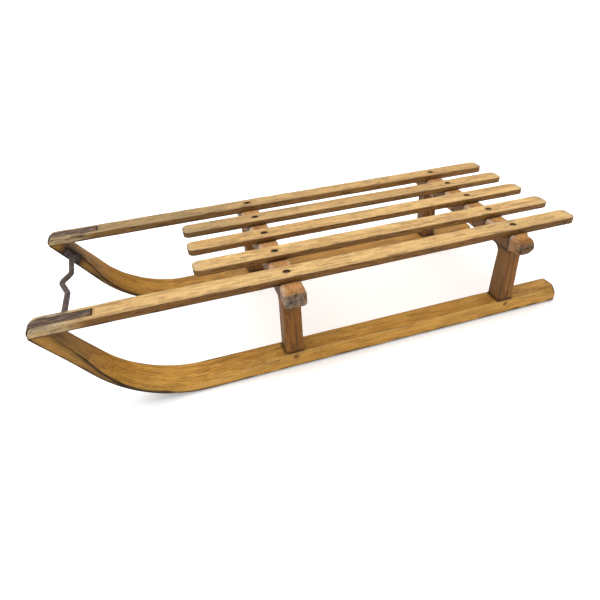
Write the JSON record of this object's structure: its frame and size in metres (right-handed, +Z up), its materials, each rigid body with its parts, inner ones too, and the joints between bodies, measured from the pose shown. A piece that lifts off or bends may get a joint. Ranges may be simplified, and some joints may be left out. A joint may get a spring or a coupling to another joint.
{
  "type": "wooden toboggan",
  "caption": "Low wooden toboggan: bent runners shod with iron bands carry slatted seat boards on crossbars and tapered legs, with a kinked iron draw rod between the upturned tips.",
  "frame": {"origin": "on the ground, halfway along the overall length and halfway between the two runners", "axes": "+X forward to the upturned tips, +Y to the rider's left, +Z up"},
  "size_m": [1.008, 0.43, 0.2],
  "materials": {
    "board_wood": "clear varnish worn to a satin, pale ash with brown grain",
    "runner_wood": "old varnish worn to a satin, bent ash, darker than the boards",
    "crossbar_wood": "old varnish, pale and bare along the worn edges",
    "leg_wood": "dark varnish with vertical streaks",
    "iron": "brown rusted iron strip, dull",
    "rod_iron": "dark iron bar, dull",
    "screw_iron": "dark oxidised iron"
  },
  "bodies": {
    "root": {"band_screws_left": "screw_iron", "band_screws_right": "screw_iron", "board_screws_front": "screw_iron", "board_screws_rear": "screw_iron", "crossbar_front": "crossbar_wood", "crossbar_rear": "crossbar_wood", "draw_rod": "rod_iron", "leg_front_left": "leg_wood", "leg_front_right": "leg_wood", "leg_pins_left": "screw_iron", "leg_pins_right": "screw_iron", "leg_rear_left": "leg_wood", "leg_rear_right": "leg_wood", "rod_plate_left": "rod_iron", "rod_plate_right": "rod_iron", "runner_band_left": "iron", "runner_band_right": "iron", "runner_left": "runner_wood", "runner_right": "runner_wood", "seat_slat_centre": "board_wood", "seat_slat_left": "board_wood", "seat_slat_right": "board_wood", "side_rail_left": "board_wood", "side_rail_right": "board_wood"}
  },
  "joints": []
}
